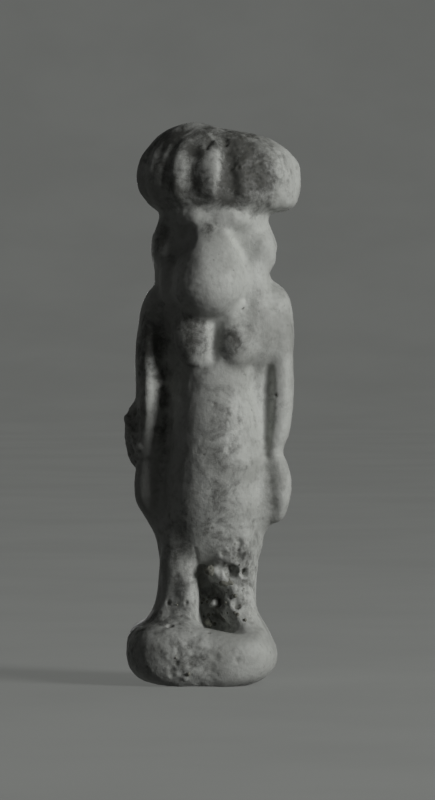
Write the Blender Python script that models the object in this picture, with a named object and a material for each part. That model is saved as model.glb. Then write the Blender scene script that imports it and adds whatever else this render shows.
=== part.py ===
"""Standing figurine: a small moulded figure with an animal's head under a low feather crown, on its own base.

The whole object is one moulded piece. It faces -Y and stands on the flat underside of its base, with the
origin at the middle of that underside. Units are metres, +Z is up.
"""

import math

import bmesh
import bpy
import numpy as np
from mathutils import Euler, Matrix, Vector

# Driving dimensions.
FIGURE_HEIGHT = 0.0341
BASE_WIDTH = 0.0103
BASE_DEPTH = 0.0114
BASE_HEIGHT = 0.0039
BASE_TOP_ROUNDING = 0.0016
BASE_TOP_FALL = 0.0008
BASE_SIDE_INSET = 0.0023
BASE_FRONT_INSET = 0.0010
BASE_FOOT_RISE = 0.0018
BASE_SIDE_STEP = 0.0006
BASE_BACK_MARGIN = 0.0005
PILLAR_WIDTH = 0.0046
PILLAR_PROJECTION = 0.0014

# The figure's own form is written in shares: hundredths of its height above the base.
SHARE = FIGURE_HEIGHT / 100
FIGURE_BACK = 10 * SHARE
PILLAR_BACK = FIGURE_BACK + PILLAR_PROJECTION
PILLAR_DEPTH = 6 * SHARE + PILLAR_PROJECTION
PILLAR_MIDDLE = 0.4 * SHARE
PILLAR_FOOT, PILLAR_SHOULDER, PILLAR_TOP = -3 * SHARE, 76 * SHARE, 79 * SHARE
CLAY_GRAIN = 0.55 * SHARE
SOFTENING_PASSES = 8
TRIANGLES = 9600

RING_SIDES = 72
ROUNDING_STEPS = 6
FOOT_RISE_MOST = 0.55 * BASE_HEIGHT
ROW_STEP = 0.6 * SHARE

# The crown's feathers, and the part of it that wear has rubbed away. Angles run from the front to the figure's left.
FEATHERS = 15
FEATHER_TURN = math.radians(-6.5)
FEATHER_RELIEF = 0.07
FEATHER_FOOT, FEATHER_TIP = 84.0, 96.0
WORN_FROM, WORN_TO = math.radians(6), math.radians(84)
WORN_EDGE = math.radians(14)
FEATHER_LEFT_BY_WEAR = 0.2

ROUND, SOFT, FULL, BOXY, SQUARE = 2.0, 2.2, 2.5, 3.4, 5.0

# Each station is a height and the four sides of the form there, in shares: left and right as seen from the
# front, then front and back. Arms and legs are named from the figure's own side.
TORSO = (
    (12.6, -10.3, 9.4, -7.0, 10.0),
    (15.3, -10.6, 10.2, -9.2, 10.0),
    (18.3, -11.2, 10.5, -10.4, 10.0),
    (22.3, -10.8, 10.6, -11.7, 10.0),
    (27.3, -10.0, 10.4, -12.9, 10.0),
    (33.3, -9.2, 10.1, -13.5, 10.0),
    (41.2, -8.4, 9.7, -12.6, 10.0),
    (49.2, -7.6, 9.3, -10.4, 10.0),
    (56.0, -8.0, 9.5, -9.2, 10.0),
    (60.2, -8.8, 10.2, -9.0, 10.0),
    (64.1, -10.4, 12.2, -8.6, 9.8),
    (66.7, -10.4, 12.2, -8.0, 9.6),
    (69.9, -8.6, 9.4, -7.0, 9.4),
)
LEFT_ARM = (
    (68.2, 10.8, 13.0, -1.4, 3.0),
    (66.9, 9.8, 14.5, -4.0, 4.8),
    (65.5, 9.6, 15.4, -5.2, 5.6),
    (62.0, 10.0, 16.2, -6.0, 5.8),
    (52.2, 10.9, 16.5, -6.2, 5.2),
    (41.2, 10.8, 16.1, -6.4, 4.0),
    (38.2, 10.5, 15.6, -6.4, 3.4),
    (34.3, 9.8, 14.4, -6.0, 2.4),
    (32.6, 10.2, 15.2, -6.4, 2.6),
    (30.4, 10.5, 16.0, -6.8, 2.8),
    (27.3, 10.8, 16.1, -7.0, 2.8),
    (24.7, 11.0, 15.7, -6.8, 2.4),
    (22.7, 11.2, 15.1, -6.0, 1.6),
    (21.0, 11.6, 14.2, -4.8, 0.6),
    (20.3, 12.4, 13.2, -3.6, -0.4),
)
RIGHT_ARM = (
    (67.2, -12.0, -9.6, -1.4, 3.0),
    (65.8, -13.0, -8.8, -4.0, 5.0),
    (64.0, -13.8, -8.6, -5.0, 5.6),
    (61.0, -14.5, -8.7, -5.4, 5.8),
    (57.0, -14.9, -8.9, -6.0, 5.6),
    (45.2, -15.0, -9.2, -6.2, 4.8),
    (41.0, -15.0, -9.4, -5.8, 4.2),
    (36.3, -15.0, -9.6, -5.1, 3.6),
    (32.9, -14.8, -9.9, -4.7, 3.0),
    (30.3, -15.0, -9.7, -4.9, 3.0),
    (27.3, -15.3, -9.4, -5.0, 3.2),
    (24.7, -15.0, -9.2, -4.9, 3.0),
    (22.7, -14.0, -8.8, -4.6, 2.6),
    (20.7, -12.8, -8.6, -4.2, 2.4),
    (18.3, -11.3, -8.8, -3.4, 2.0),
    (15.5, -10.6, -9.2, -1.0, 1.0),
)
HEAD = (
    (65.5, -10.2, 11.2, -6.5, 9.4),
    (68.3, -11.2, 11.9, -7.2, 9.6),
    (70.7, -11.2, 11.6, -7.4, 9.8),
    (73.5, -11.9, 12.9, -7.6, 10.2),
    (75.3, -12.0, 13.3, -7.6, 10.4),
    (77.6, -11.6, 12.7, -7.8, 10.4),
    (79.6, -10.7, 11.8, -8.6, 10.0),
    (81.2, -10.2, 11.4, -9.2, 9.6),
    (83.9, -10.2, 12.2, -9.2, 9.2),
)
MUZZLE = (
    (80.6, -3.8, 4.4, -9.8, -3.0),
    (77.6, -4.5, 4.9, -11.2, -3.0),
    (74.4, -6.1, 5.5, -13.5, -3.0),
    (71.0, -7.3, 6.1, -15.6, -3.0),
    (68.0, -7.7, 6.4, -16.5, -3.0),
    (65.4, -7.3, 6.0, -16.2, -3.0),
    (63.3, -5.9, 4.7, -14.8, -3.0),
    (61.9, -3.9, 2.9, -12.6, -4.0),
    (61.3, -2.0, 1.2, -10.6, -5.0),
)
CROWN = (
    (81.8, -8.0, 11.0, -6.4, 6.4),
    (82.6, -10.6, 15.4, -9.0, 8.6),
    (83.4, -12.2, 16.6, -10.2, 9.6),
    (84.8, -13.4, 17.1, -10.9, 10.2),
    (87.0, -14.5, 17.3, -11.3, 10.5),
    (90.0, -14.7, 17.3, -11.2, 10.4),
    (92.2, -14.3, 16.9, -10.6, 9.8),
    (94.2, -13.4, 15.4, -9.6, 8.8),
    (95.8, -12.3, 13.4, -8.5, 7.6),
    (97.1, -10.9, 11.2, -7.2, 6.2),
    (98.1, -9.6, 7.6, -6.0, 5.0),
    (98.9, -8.0, 2.6, -4.8, 4.0),
    (99.6, -6.0, -0.2, -3.4, 2.6),
    (100.1, -3.8, -1.6, -1.8, 1.0),
)
RIGHT_LEG = (
    (20.0, -9.6, -1.6, -9.0, 6.0),
    (14.1, -10.2, -2.3, -8.2, 6.0),
    (9.4, -10.5, -2.4, -7.8, 6.0),
    (5.4, -11.0, -2.5, -7.9, 6.0),
    (3.0, -11.8, -2.2, -8.6, 6.5),
    (0.8, -13.2, -1.6, -10.2, 7.0),
    (-2.0, -14.6, -0.6, -12.2, 8.0),
)
LEFT_LEG = (
    (20.0, -2.4, 9.4, -9.8, 6.0),
    (14.1, -1.6, 9.5, -9.2, 6.0),
    (9.4, 0.8, 9.2, -8.6, 6.0),
    (5.4, 2.8, 9.0, -8.7, 6.0),
    (3.0, 3.8, 9.3, -9.2, 6.5),
    (0.8, 4.2, 10.3, -10.4, 7.0),
    (-2.0, 4.0, 12.0, -12.0, 8.0),
)
WEB_BETWEEN_LEGS = (
    (17.0, -8.0, 8.0, -3.4, 9.4),
    (8.0, -8.4, 8.0, -2.2, 9.4),
    (-2.0, -9.4, 8.8, -2.6, 9.4),
)
WEB_BESIDE_LEFT_ARM = (
    (66.2, 0.0, 12.0, -5.0, 5.2),
    (62.0, 0.0, 14.0, -7.2, 5.6),
    (57.0, 0.0, 14.4, -7.2, 5.5),
    (52.2, 0.0, 14.6, -5.6, 5.4),
    (41.2, 0.0, 14.2, -5.6, 5.0),
    (34.3, 0.0, 12.8, -6.4, 4.6),
    (27.3, 0.0, 14.0, -6.9, 4.4),
    (21.5, 0.0, 12.6, -6.0, 4.2),
    (18.6, 0.0, 10.8, -4.4, 4.0),
)
WEB_BESIDE_RIGHT_ARM = (
    (66.2, -10.6, 0.0, -4.6, 5.2),
    (62.0, -12.4, 0.0, -4.8, 5.6),
    (52.2, -13.2, 0.0, -4.6, 5.4),
    (41.2, -13.2, 0.0, -4.2, 5.0),
    (34.3, -13.2, 0.0, -3.8, 4.6),
    (27.3, -13.4, 0.0, -3.8, 4.4),
    (21.5, -12.2, 0.0, -3.6, 4.2),
    (18.6, -11.0, 0.0, -2.6, 4.0),
)

# Each egg is its middle, its three half sizes and its lean about X and Y in degrees, in shares.
BROW_AND_WIG = (
    ((0.6, -6.9, 80.4), (7.6, 3.7, 2.8), (0, 0)),
    ((-7.8, -2.2, 74.6), (4.0, 4.6, 5.4), (0, 0)),
    ((8.9, -2.6, 74.4), (4.2, 4.8, 5.4), (0, 0)),
)
WIG_LAPPETS = (
    ((-7.4, -4.4, 69.0), (3.0, 3.6, 10.5), (-4, 0)),
    ((8.0, -4.4, 69.0), (3.0, 3.6, 10.5), (-4, 0)),
)
BREASTS = (
    ((-3.9, -7.6, 57.2), (4.4, 3.7, 6.2), (-6, -8)),
    ((5.2, -7.6, 57.2), (4.3, 3.7, 6.2), (-6, 6)),
)
CLAY_IN_HOLLOW = (
    ((4.5, -5.0, 2.4), (4.0, 3.5, 7.2), (0, -24)),
    ((3.2, -5.2, 10.4), (4.2, 3.5, 3.8), (0, -24)),
)
FEET = (
    ((-6.4, -9.4, -0.4), (5.0, 5.2, 2.3), (8, 0)),
    ((7.0, -8.6, -1.6), (4.2, 5.0, 2.3), (8, 0)),
)
RIDGE_OF_RIGHT_SHIN = (((-4.9, -4.6, 5.0), (2.7, 4.4, 9.4), (0, 0)),)
LUMP_BESIDE_FOREARM = (((-14.3, 1.4, 38.0), (3.0, 3.2, 7.0), (0, 0)),)
EYE_SOCKETS = (
    ((-5.9, -9.4, 76.4), (2.5, 2.1, 2.0), (0, 0)),
    ((6.3, -9.4, 76.4), (2.5, 2.1, 2.0), (0, 0)),
)
HOLLOW_FLOOR = (((1.2, -6.6, -0.2), (2.8, 4.2, 1.8), (0, 0)),)
LUMP_HOLLOWS = (
    ((-16.3, -1.2, 42.6), (1.3, 1.6, 2.2), (0, 0)),
    ((-17.0, -0.8, 35.2), (1.3, 1.8, 3.0), (0, -12)),
)


def clear_scene():
    for obj in list(bpy.data.objects):
        bpy.data.objects.remove(obj, do_unlink=True)


def faience_material():
    material = bpy.data.materials.new("worn_faience")
    material.use_nodes = True
    shader = material.node_tree.nodes["Principled BSDF"]
    shader.inputs["Base Color"].default_value = (0.52, 0.53, 0.47, 1.0)
    shader.inputs["Roughness"].default_value = 0.62
    shader.inputs["Metallic"].default_value = 0.0
    return material


def place(share_point):
    """A point of the figure, from shares to metres above the base."""
    x, y, height = share_point
    return Vector((x * SHARE, y * SHARE, BASE_HEIGHT + height * SHARE))


def smooth_rows(stations, step):
    """The stations' values along one smooth curve, at even heights about a step apart."""
    rows = np.array(sorted(stations), float)
    heights, slopes = rows[:, 0], np.gradient(rows, rows[:, 0], axis=0)
    count = max(2, math.ceil((heights[-1] - heights[0]) * SHARE / step) + 1)
    smooth = []
    for height in np.linspace(heights[0], heights[-1], count):
        i = min(int(np.searchsorted(heights, height, side="right")) - 1, len(rows) - 2)
        span = heights[i + 1] - heights[i]
        t = (height - heights[i]) / span
        smooth.append(
            (2 * t**3 - 3 * t**2 + 1) * rows[i]
            + (t**3 - 2 * t**2 + t) * span * slopes[i]
            + (3 * t**2 - 2 * t**3) * rows[i + 1]
            + (t**3 - t**2) * span * slopes[i + 1]
        )
    return smooth


def oval(middle, half_sizes, fullness, swell=None):
    """A level ring round middle. fullness 2 is an ellipse, and more is squarer. swell widens it by its angle."""
    points = []
    for k in range(RING_SIDES):
        angle = math.tau * k / RING_SIDES
        along_x, along_y = math.sin(angle), -math.cos(angle)
        grow = 1 if swell is None else 1 + swell(angle)
        x = math.copysign(abs(along_x) ** (2 / fullness), along_x) * grow
        y = math.copysign(abs(along_y) ** (2 / fullness), along_y) * grow
        points.append(middle + Vector((x * half_sizes[0], y * half_sizes[1], 0)))
    return points


def add_rings(body, rings):
    """Joins level rings, lowest first, into one closed shape in the body's mesh."""
    loops = [[body.verts.new(point) for point in ring] for ring in rings]
    for lower, upper in zip(loops, loops[1:]):
        for k in range(RING_SIDES):
            after = (k + 1) % RING_SIDES
            body.faces.new((lower[k], lower[after], upper[after], upper[k]))
    body.faces.new(list(reversed(loops[0])))
    body.faces.new(loops[-1])


def add_stations(body, stations, fullness, swell_at=None):
    rings = []
    for height, left, right, front, back in smooth_rows(stations, ROW_STEP):
        middle = place(((left + right) / 2, (front + back) / 2, height))
        half_sizes = ((right - left) / 2 * SHARE, (back - front) / 2 * SHARE)
        swell = None if swell_at is None else swell_at(height)
        rings.append(oval(middle, half_sizes, fullness, swell))
    add_rings(body, rings)


def add_eggs(body, eggs):
    for middle, half_sizes, lean in eggs:
        turn = Euler((math.radians(lean[0]), math.radians(lean[1]), 0)).to_matrix().to_4x4()
        size = Matrix.Diagonal((*(h * SHARE for h in half_sizes), 1.0))
        where = Matrix.Translation(place(middle)) @ turn @ size
        bmesh.ops.create_icosphere(body, subdivisions=4, radius=1.0, matrix=where)


def kept_by_wear(angle):
    """How much of a feather is left at this angle: the crown is rubbed away on the figure's left front."""
    inside = min(angle - WORN_FROM, WORN_TO - angle) / WORN_EDGE
    return 1 - (1 - FEATHER_LEFT_BY_WEAR) * min(1.0, max(0.0, inside))


def feather_swell(height):
    """Upright feathers round the crown: ridges that fade out at their foot and at their tip."""
    share = (height - FEATHER_FOOT) / (FEATHER_TIP - FEATHER_FOOT)
    strength = 0.5 * FEATHER_RELIEF * math.sin(math.pi * min(1.0, max(0.0, share))) ** 0.6
    return lambda angle: strength * kept_by_wear(angle) * math.cos(FEATHERS * (angle - FEATHER_TURN))


def base_ring(side_inset, front_inset, height, fall=0.0):
    """A level ring of the base, or one that falls towards the figure's left by fall over the base's width."""
    back = PILLAR_BACK + BASE_BACK_MARGIN
    middle = Vector((-BASE_SIDE_STEP, back - BASE_DEPTH / 2, height))
    ring = oval(middle, (BASE_WIDTH / 2 - side_inset, BASE_DEPTH / 2 - front_inset), BOXY)
    return [point - Vector((0, 0, fall * (point.x - middle.x) / BASE_WIDTH)) for point in ring]


def add_base(body):
    """The rounded slab that the figure stands on. It runs on below the ground and is cut flat there."""
    rise = min(BASE_FOOT_RISE, FOOT_RISE_MOST)
    rounding = min(BASE_TOP_ROUNDING, BASE_HEIGHT - rise)
    rings = [base_ring(BASE_SIDE_INSET, BASE_FRONT_INSET, -2 * CLAY_GRAIN)]
    for k in range(ROUNDING_STEPS + 1):
        angle = math.pi / 2 * k / ROUNDING_STEPS
        inward = 1 - math.sin(angle)
        rings.append(base_ring(BASE_SIDE_INSET * inward, BASE_FRONT_INSET * inward, rise * (1 - math.cos(angle))))
    for k in range(ROUNDING_STEPS + 1):
        angle = math.pi / 2 * k / ROUNDING_STEPS
        height = BASE_HEIGHT - rounding * (1 - math.sin(angle))
        inset = rounding * (1 - math.cos(angle))
        rings.append(base_ring(inset, inset, height, BASE_TOP_FALL))
    add_rings(body, rings)


def add_pillar(body):
    """The plain pillar up the back, from inside the base to the back of the head, where its top slopes in."""
    slope = (PILLAR_TOP - PILLAR_SHOULDER) / 2
    rings = []
    for height, inward in ((PILLAR_FOOT, 0), (PILLAR_SHOULDER, 0), (PILLAR_TOP, slope)):
        depth = PILLAR_DEPTH - inward
        middle = Vector((PILLAR_MIDDLE, PILLAR_BACK - inward - depth / 2, BASE_HEIGHT + height))
        rings.append(oval(middle, (PILLAR_WIDTH / 2, depth / 2), SQUARE))
    add_rings(body, rings)


def helper_object(name, body):
    """A cutter: it shapes the figurine and isn't part of it."""
    mesh = bpy.data.meshes.new(name)
    body.to_mesh(mesh)
    body.free()
    cutter = bpy.data.objects.new(name, mesh)
    bpy.context.scene.collection.objects.link(cutter)
    cutter.hide_render = True
    cutter.display_type = "WIRE"
    return cutter


def carving_cutter():
    body = bmesh.new()
    add_eggs(body, EYE_SOCKETS + LUMP_HOLLOWS + HOLLOW_FLOOR)
    return helper_object("carving_cutter", body)


def ground_cutter():
    """Everything below the ground, where the base is cut flat."""
    body = bmesh.new()
    wide, deep = 3 * max(BASE_WIDTH, BASE_DEPTH), BASE_HEIGHT + BASE_DEPTH
    size = Matrix.Diagonal((wide, wide, deep, 1.0))
    bmesh.ops.create_cube(body, size=1.0, matrix=Matrix.Translation((0, 0, -deep / 2)) @ size)
    return helper_object("ground_cutter", body)


def add_remesh(figurine, name):
    """Fuses what overlaps into one skin, as pressed clay is."""
    remesh = figurine.modifiers.new(name, "REMESH")
    remesh.mode = "VOXEL"
    remesh.voxel_size = CLAY_GRAIN


def add_cut(figurine, name, cutter):
    cut = figurine.modifiers.new(name, "BOOLEAN")
    cut.operation = "DIFFERENCE"
    cut.solver = "EXACT"
    cut.object = cutter


def triangle_count(figurine):
    bpy.context.view_layer.update()
    evaluated = figurine.evaluated_get(bpy.context.evaluated_depsgraph_get())
    mesh = evaluated.to_mesh()
    mesh.calc_loop_triangles()
    count = len(mesh.loop_triangles)
    evaluated.to_mesh_clear()
    return count


def build_figurine():
    body = bmesh.new()
    add_base(body)
    add_pillar(body)
    add_stations(body, TORSO, ROUND)
    for arm in (LEFT_ARM, RIGHT_ARM):
        add_stations(body, arm, FULL)
    for leg in (LEFT_LEG, RIGHT_LEG):
        add_stations(body, leg, FULL)
    for web in (WEB_BETWEEN_LEGS, WEB_BESIDE_LEFT_ARM, WEB_BESIDE_RIGHT_ARM):
        add_stations(body, web, FULL)
    add_stations(body, HEAD, FULL)
    add_stations(body, MUZZLE, SOFT)
    add_stations(body, CROWN, ROUND, feather_swell)
    add_eggs(body, BROW_AND_WIG + WIG_LAPPETS + BREASTS + LUMP_BESIDE_FOREARM)
    add_eggs(body, RIDGE_OF_RIGHT_SHIN + CLAY_IN_HOLLOW + FEET)

    mesh = bpy.data.meshes.new("figurine")
    body.to_mesh(mesh)
    body.free()
    mesh.materials.append(faience_material())
    figurine = bpy.data.objects.new("figurine", mesh)
    bpy.context.scene.collection.objects.link(figurine)

    add_remesh(figurine, "fuse the forms")
    add_cut(figurine, "carve the hollows", carving_cutter())
    add_remesh(figurine, "one skin again")
    soften = figurine.modifiers.new("soften the edges", "SMOOTH")
    soften.factor = 0.5
    soften.iterations = SOFTENING_PASSES
    thin_out = figurine.modifiers.new("thin out the facets", "DECIMATE")
    thin_out.ratio = min(1.0, TRIANGLES / triangle_count(figurine))
    add_cut(figurine, "cut the underside flat", ground_cutter())
    return figurine


def main():
    clear_scene()
    build_figurine()


main()
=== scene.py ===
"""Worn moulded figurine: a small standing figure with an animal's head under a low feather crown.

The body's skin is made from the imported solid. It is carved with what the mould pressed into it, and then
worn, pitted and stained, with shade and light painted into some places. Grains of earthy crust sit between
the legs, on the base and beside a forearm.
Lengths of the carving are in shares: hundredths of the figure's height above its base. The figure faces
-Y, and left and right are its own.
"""

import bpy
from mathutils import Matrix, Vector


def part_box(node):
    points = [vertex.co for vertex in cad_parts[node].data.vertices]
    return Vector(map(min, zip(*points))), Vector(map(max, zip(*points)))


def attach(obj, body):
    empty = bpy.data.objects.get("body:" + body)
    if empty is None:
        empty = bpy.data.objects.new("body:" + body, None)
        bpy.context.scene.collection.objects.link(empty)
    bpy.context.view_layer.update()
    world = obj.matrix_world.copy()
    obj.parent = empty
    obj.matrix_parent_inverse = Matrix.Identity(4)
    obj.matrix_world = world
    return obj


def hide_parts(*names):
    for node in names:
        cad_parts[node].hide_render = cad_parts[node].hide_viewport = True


bl_info = {
    "name": "Worn moulded figurine",
    "version": (1, 0, 0),
    "blender": (4, 5, 0),
    "location": "3D View > Sidebar > Figurine",
    "description": "Makes the worn faience skin of a small moulded figurine, its crust and a plain studio",
    "category": "Object",
}

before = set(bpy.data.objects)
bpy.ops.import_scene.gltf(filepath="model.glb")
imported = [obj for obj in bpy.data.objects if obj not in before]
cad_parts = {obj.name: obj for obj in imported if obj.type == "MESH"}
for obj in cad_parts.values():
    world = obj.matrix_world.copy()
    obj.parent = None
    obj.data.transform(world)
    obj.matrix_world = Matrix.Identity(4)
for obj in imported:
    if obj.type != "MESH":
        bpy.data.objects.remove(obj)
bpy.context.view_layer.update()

import math

import bmesh
import bpy
import numpy as np
from mathutils import Matrix, Vector

NODE = "figurine"
SOLID_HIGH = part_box(NODE)[1]
BASE_TOP = 0.0039
SHARE = (SOLID_HIGH.z - BASE_TOP) / 100
TO_SHARES = Matrix.Scale(1 / SHARE, 4) @ Matrix.Translation((0, 0, -BASE_TOP))
GROUND = -BASE_TOP / SHARE

# Where the photograph's frame lies round the figure, in its pixels
FRAME_HEIGHT, FRAME_MIDDLE = 800, (217.5, 400.0)
FIGURE_MIDDLE_X, UNDERSIDE_Y = 211.0, 682.0
# Large numbers that scatter the corners of a lattice of noise, its seed and the two together
SCATTER_CORNER, SCATTER_SEED, SCATTER_BOTH = (73856093, 19349663, 83492791), 2654435761, 1274126177


class MouldSettings(bpy.types.PropertyGroup):
    skin_grain: bpy.props.FloatProperty(
        name="Skin grain",
        description="Edge length of the skin's mesh before it is thinned out",
        default=0.0001,
        unit="LENGTH",
    )
    softening: bpy.props.IntProperty(
        name="Softening",
        description="Passes that round off the solid's facets, as fired clay is rounded",
        default=14,
        min=0,
    )
    smooth_passes: bpy.props.IntProperty(
        name="Smooth wear",
        description="Passes that level the places that handling wore smooth",
        default=240,
        min=0,
    )
    triangles: bpy.props.IntProperty(
        name="Triangles",
        description="The most triangles that the finished skin keeps",
        default=188000,
        min=10000,
    )
    feathers: bpy.props.IntProperty(
        name="Feathers",
        description="Upright feathers round the crown",
        default=15,
        min=6,
    )
    feather_turn: bpy.props.FloatProperty(
        name="Feather turn",
        description="Angle of the first feather from the front, towards the figure's left",
        default=math.radians(-6.5),
        subtype="ANGLE",
    )
    feather_relief: bpy.props.FloatProperty(
        name="Feather relief",
        description="How far a feather stands above the groove beside it",
        default=0.00014,
        unit="LENGTH",
    )


class WearSettings(bpy.types.PropertyGroup):
    seed: bpy.props.IntProperty(
        name="Seed",
        description="Fixes where the pits and the crust lie",
        default=11,
    )
    pits: bpy.props.IntProperty(
        name="Pits",
        description="Small pits scattered over the worn skin",
        default=220,
        min=0,
    )
    pit_radius: bpy.props.FloatProperty(
        name="Pit radius",
        description="Radius of the largest scattered pit",
        default=0.0002,
        unit="LENGTH",
    )
    grain_size: bpy.props.FloatProperty(
        name="Crust grain size",
        description="Width of a middling grain of crust",
        default=0.00017,
        unit="LENGTH",
    )
    grains: bpy.props.FloatProperty(
        name="Crust grains",
        description="Grains of crust for each square millimetre where crust lies thick",
        default=4.0,
        min=0.0,
    )


class FinishColours(bpy.types.PropertyGroup):
    # The clean body's pale colour also serves as painted light in a few shaded places: in the hollow
    # between the legs and on the base's lower front
    clay: bpy.props.FloatVectorProperty(
        name="Clean body",
        description="Pale body of the glazed composition where it is rubbed clean",
        default=(0.60, 0.614, 0.58),
        subtype="COLOR",
        size=3,
        min=0.0,
        max=1.0,
    )
    dulled: bpy.props.FloatVectorProperty(
        name="Dulled body",
        description="Body that is dulled by handling and weathering",
        default=(0.38, 0.388, 0.36),
        subtype="COLOR",
        size=3,
        min=0.0,
        max=1.0,
    )
    dirt: bpy.props.FloatVectorProperty(
        name="Dirt",
        description="Earth in the grooves, pits and hollows",
        default=(0.13, 0.13, 0.11),
        subtype="COLOR",
        size=3,
        min=0.0,
        max=1.0,
    )
    # This dark colour is stain, and it also paints shade and shadow on the figure's right side and under
    # the muzzle
    stain_and_painted_shade: bpy.props.FloatVectorProperty(
        name="Stain",
        description="Dark stain on the chest and the crown",
        default=(0.06, 0.06, 0.052),
        subtype="COLOR",
        size=3,
        min=0.0,
        max=1.0,
    )
    crust: bpy.props.FloatVectorProperty(
        name="Crust",
        description="Grains of hardened earth and lime",
        default=(0.24, 0.24, 0.2),
        subtype="COLOR",
        size=3,
        min=0.0,
        max=1.0,
    )


class StudioSettings(bpy.types.PropertyGroup):
    pixel: bpy.props.FloatProperty(
        name="Photo pixel",
        description="Width of one pixel of the 435 by 800 frame at the figure",
        default=0.000068,
        unit="LENGTH",
    )
    lens: bpy.props.FloatProperty(
        name="Lens",
        description="Focal length of the camera on a frame 36 mm high",
        default=250.0,
        unit="CAMERA",
    )
    camera_height: bpy.props.FloatProperty(
        name="Camera elevation",
        description="How far the camera looks down",
        default=math.radians(1.0),
        subtype="ANGLE",
    )
    floor: bpy.props.FloatVectorProperty(
        name="Floor",
        description="Colour of the plain pale paper that the figure stands on",
        default=(0.19, 0.196, 0.187),
        subtype="COLOR",
        size=3,
        min=0.0,
        max=1.0,
    )
    key_power: bpy.props.FloatProperty(
        name="Key power",
        description="Power of the soft main light",
        default=1.12,
        unit="POWER",
    )
    fill: bpy.props.FloatProperty(
        name="Fill",
        description="Strength of the even light from all round",
        default=0.02,
    )
    back_power: bpy.props.FloatProperty(
        name="Back power",
        description="Power of the soft light behind the figure, which shows its back in other views",
        default=0.6,
        unit="POWER",
    )
    paper_glow: bpy.props.FloatProperty(
        name="Paper glow",
        description="Faint even light of the paper itself, so that it looks alike from every side",
        default=0.63,
    )


# Arithmetic on arrays of points
def fade(value, start, end):
    """0 before start, 1 after end, and a smooth step between them."""
    t = np.clip((value - start) / (end - start), 0, 1)
    return t * t * (3 - 2 * t)


def lattice(points, seed):
    """Smooth noise from -1 to 1 whose cells are one unit wide."""
    cell = np.floor(points).astype(np.int64)
    part = points - cell
    soft = part * part * (3 - 2 * part)
    total = np.zeros(len(points))
    for corner in range(8):
        step = np.array([corner & 1, corner >> 1 & 1, corner >> 2 & 1])
        code = np.bitwise_xor.reduce((cell + step) * SCATTER_CORNER, axis=1) ^ (seed * SCATTER_SEED)
        code = (code ^ (code >> 13)) * SCATTER_BOTH & 0x7FFFFFFF
        value = (code ^ (code >> 16)) % 65536 / 32767.5 - 1
        total += value * np.prod(np.where(step, soft, 1 - soft), axis=1)
    return total


def clay_noise(points, size, seed, octaves=2):
    """Smooth noise whose largest features are about size shares wide."""
    total, strength = np.zeros(len(points)), 1.0
    for octave in range(octaves):
        total += strength * lattice(points / size * 2**octave, seed + octave)
        strength /= 2
    return total


def near_path(points, path):
    """Distance of each point to a path of straight runs, both in the plane of the front view."""
    path = np.array(path, float)
    nearest = np.full(len(points), np.inf)
    for start, end in zip(path, path[1:]):
        run = end - start
        along = np.clip((points - start) @ run / (run @ run), 0, 1)
        nearest = np.minimum(nearest, np.linalg.norm(points - start - along[:, None] * run, axis=1))
    return nearest


def near_egg(points, middle, half_sizes):
    """1 in the middle of an egg-shaped place, fading to nothing around it."""
    return np.exp(-(((points - middle) / half_sizes) ** 2).sum(axis=1))


# What the mould pressed into the front: (path in x and height, half width, depth)
GROOVES = (
    # between the figure's left arm and its body, and along its left hand
    (((11.4, 51.0), (11.3, 47.0), (11.0, 42.0), (10.8, 34.0)), 1.0, 0.5),
    (((12.0, 32.0), (12.2, 27.0), (12.6, 22.0)), 0.8, 0.1),
    # between its right arm and its body
    (((-8.2, 57.5), (-8.2, 50.0), (-8.4, 42.0), (-9.2, 33.0)), 1.0, 0.6),
    (((-9.4, 31.0), (-9.2, 25.0), (-8.6, 20.0)), 0.7, 0.3),
    # at the wrists
    (((11.4, 33.4), (14.8, 34.2)), 0.7, 0.25),
    (((-10.2, 33.4), (-14.6, 33.0)), 0.6, 0.2),
    # under the breasts and between them
    (((-7.6, 55.0), (-6.0, 51.8), (-2.8, 50.6), (0.2, 52.0)), 0.8, 0.15),
    (((0.8, 60.0), (0.6, 53.0)), 0.7, 0.25),
    # the wig's front edge beside the cheeks
    (((4.4, 78.0), (5.8, 75.6), (7.2, 72.8)), 1.0, 0.15),
    (((7.2, 72.8), (9.2, 76.0), (10.4, 78.6)), 0.9, 0.10),
    (((-4.4, 79.0), (-6.0, 75.6), (-7.2, 72.4)), 0.8, 0.3),
    # under the crown
    (((-9.6, 82.6), (-4.0, 83.4), (3.0, 83.7), (11.0, 83.2)), 0.6, 0.15),
    # the mouth, worn down to a faint line under the muzzle
    (((-6.6, 66.4), (-4.4, 64.4), (-0.8, 63.4), (2.8, 64.2), (5.0, 66.2)), 0.4, 0.06),
    # the arch round the tip of the middle feather, and the groove down its left side
    (((-0.8, 94.8), (0.2, 96.6), (1.6, 97.2), (2.8, 96.2)), 0.6, 0.5),
    (((2.8, 96.2), (3.6, 91.0), (4.4, 85.4)), 1.7, 0.5),
    # between the legs above the hollow
    (((-3.2, 15.5), (-2.6, 12.5)), 0.4, 0.2),
)
RIDGES = (
    # the two feathers that stand out
    (((1.2, 94.6), (0.9, 90.0), (0.6, 85.6)), 1.2, 0.45),
    (((-4.8, 96.0), (-5.8, 91.0), (-6.8, 85.6)), 1.0, 0.25),
    # the worn ridge across the lump beside the right forearm
    (((-16.8, 41.4), (-15.6, 38.4), (-14.4, 35.4)), 0.6, 0.7),
    # the lumpy lip over the hollow between the legs
    (((0.6, 11.4), (1.6, 9.8), (3.4, 8.4), (5.0, 7.0)), 1.0, 0.5),
    (((3.2, 5.6), (4.6, 3.2), (5.4, 1.4)), 0.9, 0.3),
)
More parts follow.
